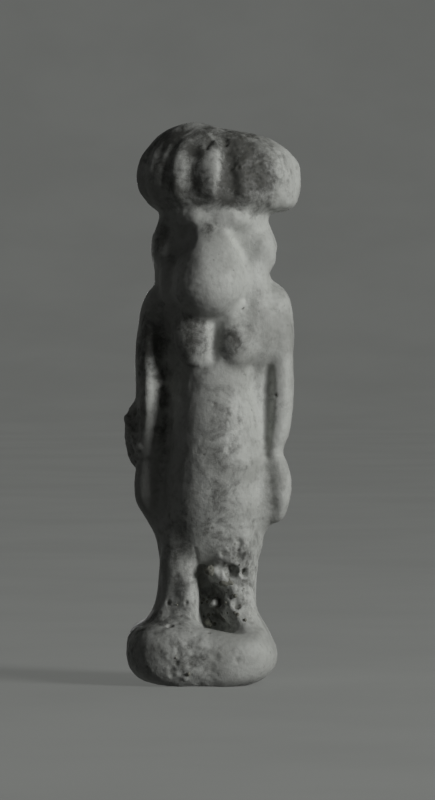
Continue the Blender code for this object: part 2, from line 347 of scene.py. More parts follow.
# Places pushed out or in: (middle, half sizes, push)
DABS = (
    # the muzzle's right flank falls away, and its front stands out beside it
    ((-4.7, -10.5, 71.0), (1.9, 4.0, 5.0), -0.5),
    ((-1.6, -14.0, 68.5), (2.6, 4.0, 5.5), 0.4),
    # eye sockets
    ((-5.2, -8.0, 76.6), (2.2, 3.0, 2.0), -0.7),
    ((5.8, -8.0, 76.6), (1.9, 3.0, 1.7), -0.35),
    # both ends of the brow
    ((-3.4, -10.0, 81.0), (1.7, 2.5, 1.7), 0.5),
    ((4.8, -10.0, 81.0), (2.0, 2.5, 1.6), 0.25),
    # nostrils
    ((-2.9, -16.6, 67.4), (0.8, 2.0, 0.6), -0.12),
    ((1.5, -16.6, 67.4), (0.8, 2.0, 0.6), -0.12),
    # a hollow worn into the right temple of the wig
    ((-8.6, -6.4, 76.0), (2.8, 3.0, 2.8), -1.4),
    # the shoulder runs smoothly into the chest on the figure's left
    ((11.2, -5.8, 60.0), (2.2, 3.0, 5.6), 1.7),
    ((9.6, -7.6, 62.6), (1.6, 3.0, 3.4), 0.5),
    ((10.5, -6.6, 58.0), (1.5, 3.0, 6.0), 0.8),
    ((9.3, -7.8, 58.5), (1.3, 3.0, 6.0), 0.9),
    ((6.6, -11.0, 58.0), (2.2, 3.0, 5.0), -0.4),
    # the upper and the lower part of its right arm lie further back
    ((-12.6, -4.6, 60.5), (3.0, 3.0, 4.6), -0.8),
    ((-12.6, -4.6, 35.5), (3.0, 3.0, 4.6), -0.5),
    # the cheek runs smoothly into the wig on the figure's left
    ((7.0, -8.0, 67.6), (1.2, 4.0, 5.0), 0.8),
    # the outer side of its right breast is worn off, and its top is full
    ((-6.2, -9.0, 57.0), (2.2, 3.0, 4.4), -0.5),
    ((-4.0, -10.0, 61.6), (3.4, 3.0, 1.8), 0.5),
    # its right arm falls away on both sides of a narrow front
    ((-10.6, -5.0, 47.0), (1.8, 3.0, 12.0), -1.1),
    ((-9.4, -5.0, 47.0), (1.0, 3.0, 8.0), -0.9),
    ((-14.0, -4.0, 48.0), (1.2, 3.0, 12.0), -0.5),
    # the hollow between the legs is deepest beside the right leg
    ((1.0, -7.2, 3.2), (1.7, 3.0, 4.4), -1.6),
    # the right leg runs smoothly up into the skirt
    ((-7.2, -9.0, 17.0), (2.0, 3.0, 4.0), -1.0),
    # clay stands up at the hollow's left end
    ((5.0, -7.0, 3.0), (1.7, 3.0, 2.4), 0.9),
    # the hollow runs out over the base at its left end
    ((3.4, -9.8, -0.9), (4.0, 3.6, 1.5), -0.9),
    ((5.8, -9.6, -1.4), (2.2, 3.0, 1.2), -0.4),
    # a dent at the foot of the right leg
    ((-8.6, -10.0, 3.6), (1.4, 3.0, 1.6), -0.4),
    # the crown's broken left front
    ((9.0, -9.0, 91.0), (5.0, 4.0, 4.4), -0.5),
    ((5.6, -10.4, 94.2), (2.6, 4.0, 2.0), -0.4),
)
# Pits that show one by one, and crumbs of clay with a depth below zero: (x, height, radius, depth)
NAMED_PITS = (
    (4.1, 10.8, 1.7, 1.7),
    (7.1, 11.0, 1.2, 1.3),
    (5.9, 16.2, 1.2, 0.6),
    (2.2, 14.2, 1.1, 0.5),
    (6.0, 13.2, 1.2, 0.5),
    (0.0, 11.5, 0.45, 0.5),
    (5.4, 4.6, 1.2, 0.6),
    (-8.4, 0.9, 0.9, 0.7),
    (-8.8, 4.8, 0.7, 0.5),
    (-5.2, 4.6, 0.6, 0.4),
    (-7.2, -6.6, 0.9, 0.3),
    (-7.4, -9.4, 0.8, 0.3),
    (-3.8, -6.2, 1.3, 0.3),
    (0.8, -5.2, 1.1, 0.25),
    (5.4, -6.2, 0.8, 0.2),
    (0.5, 44.6, 0.45, 0.25),
    (-15.6, 42.8, 1.1, 1.0),
    (-16.2, 35.0, 1.1, 0.9),
    (12.4, 46.0, 0.5, 0.5),
    (0.2, 11.2, 1.2, -0.5),
    (0.6, 4.4, 1.0, -1.9),
    (-0.3, 0.7, 0.8, -0.6),
    (-5.6, -9.8, 1.1, -0.3),
)
# Places where the skin is broken and granular: (middle, half sizes, how rough)
ROUGH_PLACES = (
    ((8.0, -8.0, 90.5), (6.0, 6.0, 5.6), 1.0),
    ((3.0, -6.0, 97.0), (6.0, 6.0, 3.0), 0.6),
    ((4.6, -9.0, 12.5), (4.4, 5.0, 6.5), 0.9),
    ((4.8, -5.0, 3.5), (3.6, 6.0, 5.0), 1.0),
    ((-5.0, -15.0, -5.5), (6.0, 6.0, 6.0), 0.9),
    ((-15.5, 0.0, 38.5), (3.0, 5.0, 6.5), 0.8),
    ((-7.6, -9.0, 4.0), (3.0, 4.0, 4.0), 0.5),
    ((0.4, -12.0, 30.0), (4.0, 4.0, 16.0), 0.25),
)
# Dark stains, and rubbed places below zero: (middle, half sizes, how dark). Some entries are painted shade
# and painted shadow, not stain, and some below zero are painted light, as marked beside them.
STAINS_AND_PAINTED_LIGHT = (
    ((4.7, -11.0, 56.8), (3.1, 5.0, 3.5), 0.82),
    # the figure's right breast darker on its outer part
    ((-3.7, -10.0, 56.8), (2.5, 5.0, 5.4), 1.0),
    ((0.3, -10.0, 57.0), (1.4, 5.0, 4.6), 0.12),
    # painted shadow of the muzzle on the top of the figure's right breast
    ((-3.4, -10.0, 60.8), (3.4, 5.0, 1.5), 0.3),
    # painted shade down the outer side and the lower front of the figure's right arm
    ((-13.6, -4.0, 50.0), (1.6, 4.0, 10.0), 0.7),
    ((-11.6, -6.0, 44.0), (1.4, 4.0, 9.0), 0.2),
    # the base darker on the figure's right, at its top and down its side
    ((-12.5, -8.0, 0.5), (4.0, 8.0, 2.5), 0.8),
    ((-15.0, -8.0, -5.0), (4.0, 10.0, 6.0), 0.5),
    # painted shade in the groove inside the figure's right arm, and painted shadow on its shoulder and
    # upper arm
    ((-9.4, -5.0, 46.0), (1.3, 4.0, 12.0), 0.9),
    ((-11.4, -6.0, 57.5), (3.0, 4.0, 5.0), 1.0),
    ((-3.0, -9.0, 90.5), (9.5, 7.0, 7.5), 0.72),
    ((0.9, -9.0, 90.5), (1.2, 6.0, 4.6), -0.75),
    ((-5.4, -9.0, 92.0), (1.2, 6.0, 4.6), -0.35),
    ((9.0, -7.0, 94.5), (3.8, 6.0, 3.0), 0.45),
    ((-5.6, -9.0, 86.0), (3.5, 5.0, 2.6), 0.4),
    ((7.5, -9.0, 90.0), (8.0, 7.0, 7.0), 0.75),
    ((6.0, -9.0, 86.0), (6.5, 6.0, 3.0), 0.6),
    ((1.0, -5.0, 97.5), (9.0, 7.0, 3.6), 0.55),
    ((-10.0, -4.0, 96.0), (5.5, 7.0, 4.4), 0.75),
    ((-0.7, -10.5, 78.6), (1.8, 4.0, 1.8), 0.8),
    # painted shade on the right flank of the muzzle and on the right side of the wig
    ((-5.6, -13.0, 69.0), (1.6, 4.0, 5.5), 0.5),
    ((-10.0, -4.0, 76.0), (2.2, 4.0, 3.4), 0.8),
    ((-2.5, -12.0, 21.0), (7.0, 6.0, 9.0), 0.46),
    ((5.0, -12.0, 27.0), (4.0, 6.0, 6.0), 0.22),
    ((8.6, -8.0, 12.0), (3.4, 6.0, 10.0), 0.45),
    ((4.2, -10.0, 14.0), (3.2, 5.0, 4.0), 0.3),
    ((1.2, -12.0, 38.0), (3.2, 6.0, 14.0), 0.38),
    ((12.2, -3.0, 44.0), (1.7, 5.0, 9.0), 0.5),
    ((-7.6, -8.0, 16.8), (2.2, 4.0, 4.6), 0.5),
    # darker deep in the hollow between the legs: partly earth, partly painted shade
    ((1.5, -4.0, 6.0), (4.5, 3.5, 6.0), 0.6),
    ((-5.6, -9.0, 6.0), (3.4, 5.0, 9.0), 0.55),
    # darker in the hollow between the legs: partly earth, partly painted shade
    ((4.2, -8.0, 3.0), (2.6, 3.0, 5.0), 0.35),
    ((0.8, -7.0, 3.4), (1.9, 4.0, 4.6), 0.8),
    # painted light: the hollow's left end and a crumb in it made paler where shade falls
    ((4.6, -8.0, 2.0), (1.8, 3.0, 4.5), -0.4),
    ((0.6, -7.0, 4.6), (0.8, 4.0, 1.0), -0.8),
    ((-4.0, -16.0, -6.0), (5.5, 6.0, 4.0), 0.55),
    # painted light on the lower front of the base, on the figure's left
    ((10.0, -13.0, -4.6), (4.6, 8.0, 5.0), -0.5),
    ((-1.2, -14.0, 70.5), (4.4, 5.0, 7.0), -0.55),
    ((4.6, -12.0, 41.0), (4.0, 6.0, 9.0), 0.2),
    ((4.6, -10.5, -1.4), (3.6, 4.0, 1.1), 0.5),
    ((-16.0, 0.0, 38.0), (2.6, 5.0, 6.0), 0.4),
)
# Places that handling wore smooth, so that one form runs into the next: (middle, half sizes, how far)
SMOOTH_PLACES = (
    ((9.4, -7.0, 59.0), (3.6, 5.0, 8.0), 1.0),
    ((5.4, -8.6, 63.6), (3.4, 4.0, 2.4), 0.8),
    ((6.8, -9.0, 69.0), (2.0, 5.0, 6.5), 0.7),
    ((-6.6, -9.0, 15.0), (3.4, 4.0, 4.0), 0.9),
    ((0.0, -9.0, 15.0), (7.0, 4.0, 3.0), 0.6),
    ((-3.8, -9.6, 61.6), (3.4, 4.0, 2.6), 0.6),
    ((10.6, -7.0, 23.0), (2.4, 4.0, 5.0), 0.6),
)
# Places where earth clings as crust: (middle, half sizes, how thick), and the least that holds a grain
CRUST_PLACES = (
    ((1.6, -3.0, 3.0), (3.4, 3.0, 4.0), 1.0),
    ((5.2, -7.0, 6.0), (2.4, 4.0, 4.0), 0.8),
    ((5.4, -8.5, 13.0), (2.8, 4.0, 3.6), 0.35),
    ((-6.4, -14.0, -6.5), (3.0, 4.0, 3.6), 0.5),
    ((-7.6, -10.0, 2.4), (2.2, 3.0, 2.4), 0.3),
    ((-15.6, -1.0, 39.0), (2.0, 3.0, 4.0), 0.25),
)
THINNEST_CRUST = 0.08
# Clods stuck in the hollow between the legs: (middle, half sizes), and their relief: (push, width)
CLODS = (
    ((-0.3, -4.8, 0.7), (0.7, 1.2, 0.65)),
    ((-0.1, -8.2, 11.2), (1.1, 0.8, 0.8)),
    ((3.2, -8.0, 8.6), (1.6, 1.0, 0.7)),
)
CLOD_RELIEF = (0.3, 0.9)

# The plan of the crown: its middle, its half sizes, and how much squarer it is than an ellipse
CROWN_MIDDLE, CROWN_HALF, CROWN_FULLNESS = (1.3, -0.4), (15.9, 10.8), 2.5
# Its feathers rise out of it from its foot to its rim, and end between their tip and its top
CROWN_FOOT, CROWN_RIM, CROWN_TIP, CROWN_TOP = 83.5, 86.5, 94.1, 97.1
# How narrow a feather is, and the share of its height at which the skin stays where it was
FEATHER_NARROWNESS, FEATHER_LEVEL = 1.6, 0.45
# Where feathers are worn: (start, end and edge in degrees, how far). Beyond 1, a groove takes their place
WORN_FEATHERS = (
    (20, 70, 14, 0.9),
    (-68, -48, 8, 1.7),
)
# Layers of the worn skin's relief: (push, width, seed)
WAVES = (0.16, 6.0, 3)
DIMPLES = (0.05, 1.8, 5)
BREAKS = (0.34, 2.2, 7)
CREASES = (0.12, 0.9, 9)
GRAIN = (0.022, 0.62, 13)
# How likely a scattered pit is on plain skin, and the share of the pits that the side of the base keeps
PITS_ON_PLAIN_SKIN, PITS_LEFT_ON_BASE = 0.003, 0.1
# The height below which skin counts as the side of the base, and the height of its edge without pits
SHOULDER_OF_BASE, PITLESS_EDGE = -1.5, 0.5
# The shares of the way to its neighbours that a point goes and comes back in a pass of softening
SHRINK, SWELL = 0.55, 0.57
# The shares of its own place and of its neighbours' that a point takes in a pass of melting
KEPT, LEVELLED = 0.3, 0.7
# The passes of softening that take away a fine and a broad bump, and the heights that count in full
FINE_PASSES, BROAD_PASSES = 16, 60
FINE_BUMP, BROAD_BUMP, BROAD_HOLLOW = 0.10, 0.3, 0.35
# Widths of what shows in the clay's colour and in its surface, and in the crust's, in metres
MOTTLE, PATCH, CLOUD, SPECK = 0.0042, 0.0009, 0.0013, 0.00034
GRIT, SAND = 0.00022, 0.00009
LIME, DUST = 0.0004, 0.00012


# The skin
def points_of(mesh):
    """The mesh's points as rows of x, y and z."""
    points = np.empty(len(mesh.vertices) * 3, np.float32)
    mesh.vertices.foreach_get("co", points)
    return points.reshape(-1, 3).astype(float)


def over_places(points, places):
    """What the places add up to at each point, from their (middle, half sizes, strength)."""
    total = np.zeros(len(points))
    for middle, half_sizes, strength in places:
        total += strength * near_egg(points, middle, half_sizes)
    return total


class Skin:
    """A mesh in shares, with its points and normals as arrays."""

    def __init__(self, mesh):
        self.mesh = mesh
        self.points = points_of(mesh)
        edges = np.empty(len(mesh.edges) * 2, np.int32)
        mesh.edges.foreach_get("vertices", edges)
        first, second = edges.reshape(-1, 2).T
        self.ends = np.concatenate((first, second))
        self.others = np.concatenate((second, first))
        self.valence = np.bincount(self.ends, minlength=len(self.points))[:, None]
        self.read_normals()

    def read_normals(self):
        self.normals = np.empty(len(self.points) * 3, np.float32)
        self.mesh.vertex_normals.foreach_get("vector", self.normals)
        self.normals = self.normals.reshape(-1, 3).astype(float)

    def write(self):
        """Puts the points back into the mesh, with the underside kept flat on the ground."""
        self.points[:, 2] = np.maximum(self.points[:, 2], GROUND)
        self.mesh.vertices.foreach_set("co", self.points.astype(np.float32).ravel())
        self.mesh.update()
        self.read_normals()

    def push(self, amount):
        """Moves each point along its normal."""
        self.points += self.normals * np.asarray(amount)[:, None]
        self.write()

    def around(self, points):
        """The sum of each point's neighbours, when the points lie here."""
        sums = [np.bincount(self.ends, points[self.others, axis], len(points)) for axis in range(3)]
        return np.stack(sums, axis=1)

    def softened(self, passes):
        """The points after so many passes of smoothing that keep the volume."""
        soft = self.points.copy()
        for _ in range(passes):
            for pull in (SHRINK, -SWELL):
                soft += pull * (self.around(soft) / self.valence - soft)
        return soft

    def melted(self, passes):
        """The points after so many passes of smoothing that level what stands out."""
        soft = self.points.copy()
        for _ in range(passes):
            soft = KEPT * soft + LEVELLED * self.around(soft) / self.valence
        return soft

    def bulge(self, passes):
        """How far each point stands out of the skin after so many passes of softening."""
        return ((self.points - self.softened(passes)) * self.normals).sum(axis=1)

    def front(self):
        """The points in the plane of the front view."""
        return self.points[:, [0, 2]]

    def facing(self):
        """1 where the skin faces the front, and 0 from the side round to the back."""
        return fade(-self.normals[:, 1], 0.0, 0.35)

    def seen_at(self, x, height, within=0.5):
        """The foremost point near this place of the front view, or near the outline beside it."""
        apart = np.abs(self.front() - (x, height)).max(axis=1)
        near = np.flatnonzero(apart < max(within, apart.min() * 1.01))
        return self.points[near[np.argmin(self.points[near, 1])]]


def skin_mesh(settings):
    """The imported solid's skin, merged, finely meshed and in shares."""
    body = bmesh.new()
    body.from_mesh(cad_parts[NODE].data)
    bmesh.ops.remove_doubles(body, verts=body.verts, dist=1e-7)
    body.transform(TO_SHARES)
    mesh = bpy.data.meshes.new("skin")
    body.to_mesh(mesh)
    body.free()
    worker = bpy.data.objects.new("skin", mesh)
    bpy.context.scene.collection.objects.link(worker)
    remesh = worker.modifiers.new("fine mesh", "REMESH")
    remesh.mode = "VOXEL"
    remesh.voxel_size = settings.skin_grain / SHARE
    return applied(worker)


def applied(worker):
    """A plain mesh of the object as its modifiers make it. The object goes."""
    bpy.context.view_layer.update()
    evaluated = worker.evaluated_get(bpy.context.evaluated_depsgraph_get())
    mesh = bpy.data.meshes.new_from_object(evaluated)
    bpy.data.objects.remove(worker)
    return mesh


def push_places(skin):
    """Pushes whole places out or in."""
    for middle, half_sizes, push in DABS:
        skin.push(push * near_egg(skin.points, middle, half_sizes))


def wear_smooth(skin, passes):
    """Levels the places that handling wore smooth."""
    share = np.zeros(len(skin.points))
    for middle, half_sizes, strength in SMOOTH_PLACES:
        share = np.maximum(share, strength * near_egg(skin.points, middle, half_sizes))
    skin.points += share[:, None] * (skin.melted(passes) - skin.points)
    skin.write()


def press_mould(skin):
    """Presses in the grooves of the front, and then raises its ridges."""
    for lines, way in ((GROOVES, -1), (RIDGES, 1)):
        for path, width, height in lines:
            near = np.exp(-((near_path(skin.front(), path) / width) ** 2))
            skin.push(way * height * near * skin.facing())


def crown_angle(points):
    """Angle round the crown from its front towards the figure's left."""
    across = (points[:, 0] - CROWN_MIDDLE[0]) / CROWN_HALF[0]
    along = (CROWN_MIDDLE[1] - points[:, 1]) / CROWN_HALF[1]
    squareness = CROWN_FULLNESS / 2
    return np.arctan2(
        np.sign(across) * np.abs(across) ** squareness,
        np.sign(along) * np.abs(along) ** squareness,
    )


def between(angle, start, end, edge):
    """1 between two angles in degrees, fading to 0 over an edge outside them."""
    start, end, edge = math.radians(start), math.radians(end), math.radians(edge)
    return fade(angle, start - edge, start) * fade(-angle, -end - edge, -end)


def press_feathers(skin, settings):
    """Raises the upright feathers round the crown: narrow ridges with wide grooves, worn away in places."""
    angle = crown_angle(skin.points)
    height = skin.points[:, 2]
    wave = 0.5 + 0.5 * np.cos(settings.feathers * (angle - settings.feather_turn))
    below_tip = fade(-height, -CROWN_TOP, -CROWN_TIP)
    strength = fade(height, CROWN_FOOT, CROWN_RIM) * below_tip
    strength *= 1 - sum(share * between(angle, *span) for *span, share in WORN_FEATHERS)
    relief = settings.feather_relief / SHARE
    skin.push(relief * strength * (wave**FEATHER_NARROWNESS - FEATHER_LEVEL))


def roughness_of(points):
    """How broken and granular the skin is at each point."""
    return np.clip(over_places(points, ROUGH_PLACES), 0, 1.2)


def dig(skin, pits):
    """Digs round pits: (place, radius, depth). A depth below zero leaves a crumb standing there."""
    depth_at = np.zeros(len(skin.points))
    for place, radius, depth in pits:
        near = np.flatnonzero((np.abs(skin.points - place) < radius).all(axis=1))
        share = ((skin.points[near] - place) ** 2).sum(axis=1) / radius**2
        bowl = depth * np.clip(1 - share, 0, 1) ** 1.5
        depth_at[near] = np.where(np.abs(bowl) > np.abs(depth_at[near]), bowl, depth_at[near])
    skin.push(-depth_at)


def relief_at(points, layer, octaves=2):
    """One layer of the worn skin's relief, from its (push, width, seed)."""
    push, width, seed = layer
    return push * clay_noise(points, width, seed, octaves)


def weather(skin, wear):
    """Wears the whole skin unevenly, breaks it where it is granular, and pits it."""
    rough = roughness_of(skin.points)
    skin.push(relief_at(skin.points, WAVES) + relief_at(skin.points, DIMPLES))
    broken = relief_at(skin.points, BREAKS, octaves=4)
    creases = np.abs(relief_at(skin.points, CREASES))
    skin.push(rough * (broken - creases))
    skin.push(relief_at(skin.points, GRAIN))

    draw = np.random.default_rng(wear.seed)
    chance = PITS_ON_PLAIN_SKIN + rough**2
    height = skin.points[:, 2]
    chance[height < SHOULDER_OF_BASE] *= PITS_LEFT_ON_BASE
    chance[height < GROUND + PITLESS_EDGE] = 0
    picked = draw.choice(len(skin.points), size=wear.pits, p=chance / chance.sum())
    largest = wear.pit_radius / SHARE
    scattered = []
    for index in picked:
        radius = largest * (0.35 + 0.65 * draw.random() ** 2)
        scattered.append((skin.points[index].copy(), radius, radius * draw.uniform(0.2, 0.55)))
    dig(skin, scattered)
    dig(skin, [(skin.seen_at(x, height), radius, depth) for x, height, radius, depth in NAMED_PITS])


def thin_out(mesh, triangles):
    """The mesh with no more than so many triangles, thinned most where it is plain."""
    worker = bpy.data.objects.new("skin", mesh)
    bpy.context.scene.collection.objects.link(worker)
    mesh.calc_loop_triangles()
    thin = worker.modifiers.new("thin out", "DECIMATE")
    thin.ratio = min(1.0, triangles / len(mesh.loop_triangles))
    return applied(worker)


def mark(mesh, name, values):
    """Keeps a value of each point as an attribute that a material or a node tree reads."""
    attribute = mesh.attributes.new(name, "FLOAT", "POINT")
    attribute.data.foreach_set("value", np.asarray(values, np.float32))


def mark_finish(skin):
    """Marks where the skin is hollow, rubbed, stained and granular, and where shade and light are painted
    in.
    """
    fine, broad = skin.bulge(FINE_PASSES), skin.bulge(BROAD_PASSES)
    hollow = 0.6 * np.clip(-fine / FINE_BUMP, 0, 1) + 0.6 * np.clip(-broad / BROAD_HOLLOW, 0, 1)
    rubbed_and_painted_light = 0.5 * np.clip(fine / FINE_BUMP, 0, 1) + 0.5 * np.clip(broad / BROAD_BUMP, 0, 1)
    # Stains above zero include painted shade and painted shadow, and a few below zero are painted light in
    # shaded places
    stain_and_painted_shade = over_places(skin.points, STAINS_AND_PAINTED_LIGHT)
    mark(skin.mesh, "hollow", hollow)
    mark(skin.mesh, "rubbed_and_painted_light", rubbed_and_painted_light + np.clip(-2 * stain_and_painted_shade, 0, 1))
    mark(skin.mesh, "stained_and_painted_shade", np.clip(stain_and_painted_shade, 0, 1))
    mark(skin.mesh, "granular", roughness_of(skin.points))


# Materials and node trees
def feed(tree, value, socket):
    """Gives an input another node's output, or else a plain value or colour."""
    if isinstance(value, bpy.types.NodeSocket):
        tree.links.new(value, socket)
    elif socket.type == "RGBA":
        socket.default_value = (*value, 1.0)
    else:
        socket.default_value = value


def node(tree, kind, **values):
    """A node with its own settings, and its inputs by name, with _ for a space."""
    made = tree.nodes.new(kind)
    for name, value in values.items():
        if hasattr(made, name):
            setattr(made, name, value)
        else:
            feed(tree, value, made.inputs[name.replace("_", " ")])
    return made


def socket_of(sockets, name, kind):
    """The socket of this name and kind, where a node has one of that name for each kind of value."""
    return next(socket for socket in sockets if socket.name == name and socket.type == kind)


def new_material(name):
    """A material, its node tree and its shader."""
    material = bpy.data.materials.new(name)
    material.use_nodes = True
    tree = material.node_tree
    tree.nodes.clear()
    shader = node(tree, "ShaderNodeBsdfPrincipled")
    node(tree, "ShaderNodeOutputMaterial", Surface=shader.outputs["BSDF"])
    return material, tree, shader


def marked(tree, name):
    """The value that mark kept under this name."""
    return node(tree, "ShaderNodeAttribute", attribute_name=name, attribute_type="GEOMETRY").outputs["Fac"]


def spread(tree, place, width, detail=4.0, roughness=0.6, distortion=0.0):
    """Noise whose features are about so many metres wide."""
    noise = node(tree, "ShaderNodeTexNoise", Vector=place, Scale=1 / width, Detail=detail)
    noise.inputs["Roughness"].default_value = roughness
    noise.inputs["Distortion"].default_value = distortion
    return noise.outputs[0]


def ramp(tree, value, low, high, start=0.0, end=1.0):
    """The value stretched from low..high to start..end, and kept within them."""
    stretch = node(tree, "ShaderNodeMapRange", interpolation_type="SMOOTHSTEP", Value=value)
    for socket, limit in (("From Min", low), ("From Max", high), ("To Min", start), ("To Max", end)):
        stretch.inputs[socket].default_value = limit
    return stretch.outputs[0]


def combine(tree, kind, first, second):
    """Two values put together. Each is an output or a number."""
    made = node(tree, "ShaderNodeMath", operation=kind)
    feed(tree, first, made.inputs[0])
    feed(tree, second, made.inputs[1])
    return made.outputs[0]


def blend(tree, under, over, share):
    """One colour over another, by an output that says how much. Each is an output or a colour."""
    mix = node(tree, "ShaderNodeMix", data_type="RGBA", clamp_factor=True, Factor=share)
    feed(tree, under, socket_of(mix.inputs, "A", "RGBA"))
    feed(tree, over, socket_of(mix.inputs, "B", "RGBA"))
    return socket_of(mix.outputs, "Result", "RGBA")


def bump(tree, height, strength, distance):
    made = node(tree, "ShaderNodeBump", Strength=strength, Distance=distance, Height=height)
    return made.outputs["Normal"]


def worn_faience(colours):
    """Pale glazed composition whose glaze has gone: mottled, stained, and dirty in its hollows and pits,
    with painted shade and painted light in some places.
    """
    material, tree, shader = new_material("worn_faience")
    place = node(tree, "ShaderNodeTexCoord").outputs["Object"]

    mottles = spread(tree, place, MOTTLE, detail=5.0, roughness=0.62, distortion=0.4)
    patches = spread(tree, place, PATCH, detail=6.0, roughness=0.7)
    colour = blend(tree, colours.clay, colours.dulled, ramp(tree, mottles, 0.42, 0.66, 0.0, 0.8))
    colour = blend(tree, colour, colours.dulled, ramp(tree, patches, 0.50, 0.72, 0.0, 0.55))
    # Rubbed places are worn pale, and a few shaded ones are painted light: in the hollow between the legs
    # and on the base's lower front
    rubbed_and_painted_light = combine(tree, "MULTIPLY", marked(tree, "rubbed_and_painted_light"), 0.5)
    colour = blend(tree, colour, colours.clay, rubbed_and_painted_light)

    patchy = ramp(tree, patches, 0.3, 0.6, 0.5, 1.0)
    hollow = combine(tree, "MULTIPLY", marked(tree, "hollow"), patchy)
    colour = blend(tree, colour, colours.dirt, combine(tree, "MULTIPLY", hollow, 0.85))

    clouds = spread(tree, place, CLOUD, detail=5.0, roughness=0.66, distortion=0.6)
    # Stained places carry real stain and also painted shade and painted shadow on the figure's right side
    # and under the muzzle
    ragged = combine(tree, "ADD", ramp(tree, patches, 0.35, 0.7, -0.16, 0.16), marked(tree, "stained_and_painted_shade"))
    ragged = combine(tree, "ADD", ramp(tree, clouds, 0.35, 0.65, -0.22, 0.22), ragged)
    colour = blend(tree, colour, colours.stain_and_painted_shade, ramp(tree, ragged, 0.1, 1.0, 0.0, 0.92))

    specks = spread(tree, place, SPECK, detail=2.0, roughness=0.5)
    granular = combine(tree, "MULTIPLY", marked(tree, "granular"), ramp(tree, specks, 0.56, 0.66))
    speckled = combine(tree, "ADD", granular, ramp(tree, specks, 0.70, 0.76, 0.0, 0.6))
    colour = blend(tree, colour, colours.dirt, combine(tree, "MULTIPLY", speckled, 0.55))
    feed(tree, colour, shader.inputs["Base Color"])

    rough = combine(tree, "ADD", ramp(tree, patches, 0.3, 0.7, 0.46, 0.66), hollow)
    feed(tree, combine(tree, "MINIMUM", rough, 0.85), shader.inputs["Roughness"])
    shader.inputs["Specular IOR Level"].default_value = 0.42

    grit = spread(tree, place, GRIT, detail=4.0, roughness=0.65)
    sand = spread(tree, place, SAND, detail=2.0, roughness=0.6)
    height = combine(tree, "ADD", grit, combine(tree, "MULTIPLY", sand, 0.35))
    feed(tree, bump(tree, height, 0.55, 0.00006), shader.inputs["Normal"])
    return material


def earthy_crust(colours):
    """Hardened earth and lime, mottled with dirt."""
    material, tree, shader = new_material("earthy_crust")
    place = node(tree, "ShaderNodeTexCoord").outputs["Object"]
    lime = spread(tree, place, LIME, detail=5.0, roughness=0.7)
    colour = blend(tree, colours.crust, colours.dirt, ramp(tree, lime, 0.42, 0.68, 0.0, 0.9))
    feed(tree, colour, shader.inputs["Base Color"])
    feed(tree, ramp(tree, lime, 0.3, 0.7, 0.7, 0.95), shader.inputs["Roughness"])
    feed(tree, bump(tree, spread(tree, place, DUST), 0.6, 0.00005), shader.inputs["Normal"])
    return material


def crust_nodes():
    """A tree that scatters grains over a surface by its crust attribute."""
    tree = bpy.data.node_groups.new("scattered_crust", "GeometryNodeTree")
    tree.interface.new_socket("Surface", in_out="INPUT", socket_type="NodeSocketGeometry")
    tree.interface.new_socket("Grains per area", in_out="INPUT", socket_type="NodeSocketFloat")
    tree.interface.new_socket("Grain size", in_out="INPUT", socket_type="NodeSocketFloat")
    tree.interface.new_socket("Seed", in_out="INPUT", socket_type="NodeSocketInt")
    tree.interface.new_socket("Crust", in_out="OUTPUT", socket_type="NodeSocketGeometry")
    given = tree.nodes.new("NodeGroupInput").outputs
    result = tree.nodes.new("NodeGroupOutput")

    thick = node(tree, "GeometryNodeInputNamedAttribute", data_type="FLOAT", Name="crust")
    per_area = combine(tree, "MULTIPLY", given["Grains per area"], thick.outputs["Attribute"])
    scatter = node(tree, "GeometryNodeDistributePointsOnFaces", distribute_method="RANDOM")
    feed(tree, given["Surface"], scatter.inputs["Mesh"])
    feed(tree, per_area, scatter.inputs["Density"])
    feed(tree, given["Seed"], scatter.inputs["Seed"])

    ball = node(tree, "GeometryNodeMeshIcoSphere", Radius=0.5, Subdivisions=2)
    lumps = node(tree, "ShaderNodeTexNoise", Scale=1.6, Detail=1.0)
    offset = node(tree, "ShaderNodeVectorMath", operation="SCALE", Scale=0.35)
    feed(tree, lumps.outputs["Color"], offset.inputs[0])
    grain = node(tree, "GeometryNodeSetPosition", Geometry=ball.outputs["Mesh"])
    feed(tree, offset.outputs["Vector"], grain.inputs["Offset"])

    turn = node(tree, "FunctionNodeRandomValue", data_type="FLOAT_VECTOR", Seed=given["Seed"])
    socket_of(turn.inputs, "Max", "VECTOR").default_value = (math.tau, math.tau, math.tau)
    width = node(tree, "FunctionNodeRandomValue", data_type="FLOAT", Seed=given["Seed"])
    socket_of(width.inputs, "Min", "VALUE").default_value = 0.35
    socket_of(width.inputs, "Max", "VALUE").default_value = 1.7
    size = combine(tree, "MULTIPLY", socket_of(width.outputs, "Value", "VALUE"), given["Grain size"])

    strew = node(tree, "GeometryNodeInstanceOnPoints", Points=scatter.outputs["Points"], Scale=size)
    feed(tree, grain.outputs["Geometry"], strew.inputs["Instance"])
    feed(tree, socket_of(turn.outputs, "Value", "VECTOR"), strew.inputs["Rotation"])
    real = node(tree, "GeometryNodeRealizeInstances", Geometry=strew.outputs["Instances"])
    feed(tree, real.outputs["Geometry"], result.inputs["Crust"])
    return tree


def set_input(modifier, tree, name, value):
    """Sets a modifier's input by the name that its tree gives it."""
    socket = next(s for s in tree.interface.items_tree if s.name == name and s.in_out == "INPUT")
    modifier[socket.identifier] = value


def crust_thickness(mesh):
    """How thick crust lies at each point of the body's finished mesh."""
    thick = over_places((points_of(mesh) - (0, 0, BASE_TOP)) / SHARE, CRUST_PLACES)
    thick[thick < THINNEST_CRUST] = 0
    return thick


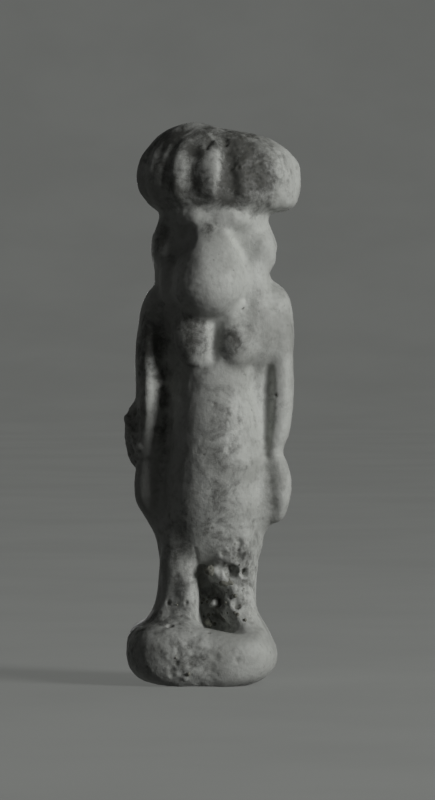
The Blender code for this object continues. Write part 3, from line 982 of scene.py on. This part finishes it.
def clod_mesh(seed):
    """Clods, each an egg with a lumpy skin."""
    clods = bmesh.new()
    for middle, half_sizes in CLODS:
        where = Matrix.Translation(middle) @ Matrix.Diagonal((*half_sizes, 1.0))
        bmesh.ops.create_icosphere(clods, subdivisions=4, radius=1.0, matrix=where)
    mesh = bpy.data.meshes.new("clods")
    clods.to_mesh(mesh)
    clods.free()
    skin = Skin(mesh)
    skin.push(relief_at(skin.points, (*CLOD_RELIEF, seed), octaves=4))
    mesh.transform(TO_SHARES.inverted())
    return mesh


class FIGURINE_OT_moulded_body(bpy.types.Operator):
    """Make the figurine's skin: the solid's form with its carving, wear and stains, and painted shade and
    light
    """

    bl_idname = "figurine.moulded_body"
    bl_label = "Moulded body"

    def execute(self, context):
        mould, wear = context.scene.figurine_mould, context.scene.figurine_wear
        skin = Skin(skin_mesh(mould))
        skin.points = skin.softened(mould.softening)
        skin.write()
        push_places(skin)
        wear_smooth(skin, mould.smooth_passes)
        press_mould(skin)
        press_feathers(skin, mould)
        weather(skin, wear)

        skin = Skin(thin_out(skin.mesh, mould.triangles))
        mark_finish(skin)
        skin.mesh.transform(TO_SHARES.inverted())
        skin.mesh.shade_smooth()
        skin.mesh.materials.clear()
        skin.mesh.materials.append(worn_faience(context.scene.figurine_colours))
        body = bpy.data.objects.new("moulded_body", skin.mesh)
        context.scene.collection.objects.link(body)
        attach(body, "root")
        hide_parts(NODE)
        return {"FINISHED"}


class FIGURINE_OT_earthy_crust(bpy.types.Operator):
    """Strew hardened earth between the legs, on the base and on the lump beside the forearm"""

    bl_idname = "figurine.earthy_crust"
    bl_label = "Earthy crust"

    def execute(self, context):
        wear = context.scene.figurine_wear
        ground = bpy.data.objects["moulded_body"].data.copy()
        mark(ground, "crust", crust_thickness(ground))
        crust = bpy.data.objects.new("earthy_crust", ground)
        context.scene.collection.objects.link(crust)
        tree = crust_nodes()
        scatter = crust.modifiers.new("scattered crust", "NODES")
        scatter.node_group = tree
        set_input(scatter, tree, "Grains per area", wear.grains * 1e6)
        set_input(scatter, tree, "Grain size", wear.grain_size)
        set_input(scatter, tree, "Seed", wear.seed)
        context.view_layer.update()
        mesh = bpy.data.meshes.new_from_object(crust.evaluated_get(context.evaluated_depsgraph_get()))
        crust.modifiers.remove(scatter)

        together = bmesh.new()
        together.from_mesh(mesh)
        together.from_mesh(clod_mesh(wear.seed))
        for face in together.faces:
            face.material_index = 0
        together.to_mesh(mesh)
        together.free()
        mesh.materials.clear()
        mesh.materials.append(earthy_crust(context.scene.figurine_colours))
        mesh.shade_smooth()
        crust.data = mesh
        bpy.data.meshes.remove(ground)
        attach(crust, "root")
        return {"FINISHED"}


# Studio
def aim(thing, target):
    """Turns a lamp or camera to look at the target."""
    thing.rotation_euler = (Vector(target) - thing.location).to_track_quat("-Z", "Y").to_euler()


def soft_light(name, turn, up, distance, size, power):
    """A round lamp aimed at the figure. turn runs from the front towards the viewer's right."""
    light = bpy.data.lights.new(name, "AREA")
    light.shape = "DISK"
    light.size = size
    light.energy = power
    lamp = bpy.data.objects.new(name, light)
    bpy.context.scene.collection.objects.link(lamp)
    middle = SOLID_HIGH.z / 2
    level = math.cos(up) * distance
    lamp.location = (math.sin(turn) * level, -math.cos(turn) * level, middle + math.sin(up) * distance)
    lamp.visible_camera = False
    aim(lamp, (0, 0, middle))
    return lamp


def light_only(lamp, names):
    """Keeps a lamp's light to the pieces of these names."""
    lit = bpy.data.collections.new("lit_from_behind")
    for name in names:
        lit.objects.link(bpy.data.objects[name])
    lamp.light_linking.receiver_collection = lit


def even_fill(strength):
    """A plain white world."""
    world = bpy.data.worlds.new("even_fill")
    world.use_nodes = True
    background = world.node_tree.nodes["Background"]
    background.inputs["Color"].default_value = (1.0, 1.0, 1.0, 1.0)
    background.inputs["Strength"].default_value = strength
    bpy.context.scene.world = world


def paper_material(settings):
    """Pale paper with a faint unevenness and a faint light of its own."""
    material, tree, shader = new_material("pale_paper")
    place = node(tree, "ShaderNodeTexCoord").outputs["Object"]
    tone = ramp(tree, spread(tree, place, 0.03, detail=3.0), 0.3, 0.7)
    shade = [channel * 0.94 for channel in settings.floor]
    colour = blend(tree, settings.floor, shade, tone)
    feed(tree, colour, shader.inputs["Base Color"])
    feed(tree, colour, shader.inputs["Emission Color"])
    shader.inputs["Emission Strength"].default_value = settings.paper_glow
    shader.inputs["Roughness"].default_value = 0.9
    return material


def paper_bowl(settings):
    """A round sheet: a level floor that curves up into a wall all round the figure."""
    centre, flat, bend, top = 0.12, 0.75, 0.35, 1.0
    sides, bend_steps = 96, 16
    profile = [(centre, 0.0), (flat, 0.0)]
    for step in range(1, bend_steps + 1):
        angle = math.pi / 2 * step / bend_steps
        profile.append((flat + bend * math.sin(angle), bend * (1 - math.cos(angle))))
    profile.append((flat + bend, top))
    sheet = bmesh.new()
    rings = []
    for radius, height in profile:
        turns = (math.tau * side / sides for side in range(sides))
        rings.append([sheet.verts.new((radius * math.cos(t), radius * math.sin(t), height)) for t in turns])
    sheet.faces.new(rings[0])
    for low, high in zip(rings, rings[1:]):
        for side in range(sides):
            after = (side + 1) % sides
            sheet.faces.new((low[side], high[side], high[after], low[after]))
    bmesh.ops.recalc_face_normals(sheet, faces=sheet.faces)
    sheet.normal_update()
    if sheet.faces[0].normal.z < 0:
        bmesh.ops.reverse_faces(sheet, faces=sheet.faces)
    mesh = bpy.data.meshes.new("paper_bowl")
    sheet.to_mesh(mesh)
    sheet.free()
    mesh.shade_smooth()
    mesh.materials.append(paper_material(settings))
    floor = bpy.data.objects.new("paper_bowl", mesh)
    bpy.context.scene.collection.objects.link(floor)
    floor.visible_diffuse = False


def photo_camera(settings):
    """The camera at the photograph's angle, with the figure where the photograph has it."""
    camera = bpy.data.cameras.new("photo_camera")
    camera.lens = settings.lens
    camera.sensor_fit = "VERTICAL"
    camera.sensor_height = 36.0
    camera.clip_start = 0.01
    camera.clip_end = 5.0
    seen = bpy.data.objects.new("photo_camera", camera)
    scene = bpy.context.scene
    scene.collection.objects.link(seen)
    target = Vector((
        (FRAME_MIDDLE[0] - FIGURE_MIDDLE_X) * settings.pixel,
        0,
        (UNDERSIDE_Y - FRAME_MIDDLE[1]) * settings.pixel,
    ))
    distance = FRAME_HEIGHT * settings.pixel * camera.lens / camera.sensor_height
    up = settings.camera_height
    seen.location = target + Vector((0, -math.cos(up) * distance, math.sin(up) * distance))
    aim(seen, target)
    scene.camera = seen


class FIGURINE_OT_studio(bpy.types.Operator):
    """Set up the plain pale floor, the soft light and the camera at the photograph's angle"""

    bl_idname = "figurine.studio"
    bl_label = "Studio"

    def execute(self, context):
        settings = context.scene.figurine_studio
        paper_bowl(settings)
        soft_light(
            "key",
            turn=math.radians(58),
            up=math.radians(15),
            distance=0.42,
            size=0.19,
            power=settings.key_power,
        )
        back_light = soft_light(
            "back_light",
            turn=math.radians(183),
            up=0.0,
            distance=0.6,
            size=0.12,
            power=settings.back_power,
        )
        light_only(back_light, ("moulded_body", "earthy_crust"))
        even_fill(settings.fill)
        context.scene.view_settings.view_transform = "Standard"
        photo_camera(settings)
        return {"FINISHED"}


class FIGURINE_PT_maker(bpy.types.Panel):
    """Lists the steps that make the figurine"""

    bl_idname = "FIGURINE_PT_maker"
    bl_label = "Figurine"
    bl_space_type = "VIEW_3D"
    bl_region_type = "UI"
    bl_category = "Figurine"

    def draw(self, context):
        scene, layout = context.scene, self.layout
        for operator, groups in STEPS:
            layout.operator(operator.bl_idname)
            for group in groups:
                settings = getattr(scene, group)
                for name in settings.bl_rna.properties.keys():
                    if name not in ("rna_type", "name"):
                        layout.prop(settings, name)


STEPS = (
    (FIGURINE_OT_moulded_body, ("figurine_mould", "figurine_colours")),
    (FIGURINE_OT_earthy_crust, ("figurine_wear",)),
    (FIGURINE_OT_studio, ("figurine_studio",)),
)
GROUPS = {
    "figurine_mould": MouldSettings,
    "figurine_wear": WearSettings,
    "figurine_colours": FinishColours,
    "figurine_studio": StudioSettings,
}
CLASSES = (*GROUPS.values(), *(operator for operator, groups in STEPS), FIGURINE_PT_maker)


def register():
    for cls in CLASSES:
        bpy.utils.register_class(cls)
    for name, group in GROUPS.items():
        setattr(bpy.types.Scene, name, bpy.props.PointerProperty(type=group))


def unregister():
    for name in GROUPS:
        delattr(bpy.types.Scene, name)
    for cls in reversed(CLASSES):
        bpy.utils.unregister_class(cls)


def main():
    register()
    bpy.ops.figurine.moulded_body()
    bpy.ops.figurine.earthy_crust()
    bpy.ops.figurine.studio()


if __name__ == "__main__":
    main()
